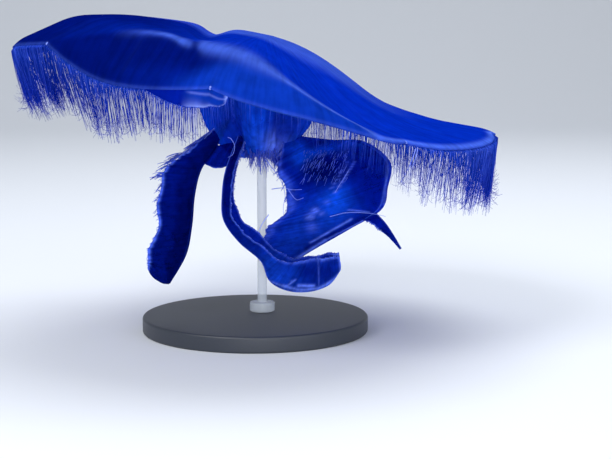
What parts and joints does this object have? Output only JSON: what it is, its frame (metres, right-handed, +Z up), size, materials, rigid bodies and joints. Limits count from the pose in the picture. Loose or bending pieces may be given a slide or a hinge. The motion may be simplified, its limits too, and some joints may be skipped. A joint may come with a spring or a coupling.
{
  "type": "moon jellyfish model on a display stand",
  "caption": "Life-size still model of a swimming moon jellyfish: flexed bell, fringe of tentacles, frilled oral arms, on a rod and round base.",
  "frame": {"origin": "centre of the base's underside, on the floor", "axes": "+Z up; +X towards the bell's lower wing, which is on the viewer's right; +Y away from the viewer"},
  "size_m": [0.3045, 0.2958, 0.1957],
  "materials": {
    "jelly": "wet, translucent blue",
    "oral_tissue": "wet, translucent blue with pale edges",
    "gonad_tissue": "soft violet",
    "stand_base": "fine satin",
    "stand_rod": "clear acrylic"
  },
  "bodies": {
    "root": {"bell_dome": "jelly", "lobe_right_back": "jelly", "lobe_back_right": "jelly", "lobe_back_left": "jelly", "lobe_left_back": "jelly", "lobe_left_front": "jelly", "lobe_front_left": "jelly", "lobe_front_right": "jelly", "lobe_right_front": "jelly", "manubrium": "oral_tissue", "gonad_1": "gonad_tissue", "gonad_2": "gonad_tissue", "gonad_3": "gonad_tissue", "gonad_4": "gonad_tissue", "oral_arm_left_upper": "oral_tissue", "oral_arm_left_middle": "oral_tissue", "oral_arm_left_lower": "oral_tissue", "oral_arm_front_upper": "oral_tissue", "oral_arm_front_middle": "oral_tissue", "oral_arm_front_lower": "oral_tissue", "oral_arm_right_upper": "oral_tissue", "oral_arm_right_middle": "oral_tissue", "oral_arm_right_lower": "oral_tissue", "oral_arm_back_upper": "oral_tissue", "oral_arm_back_middle": "oral_tissue", "oral_arm_back_lower": "oral_tissue", "stand_base": "stand_base", "stand_rod": "stand_rod"}
  },
  "joints": []
}
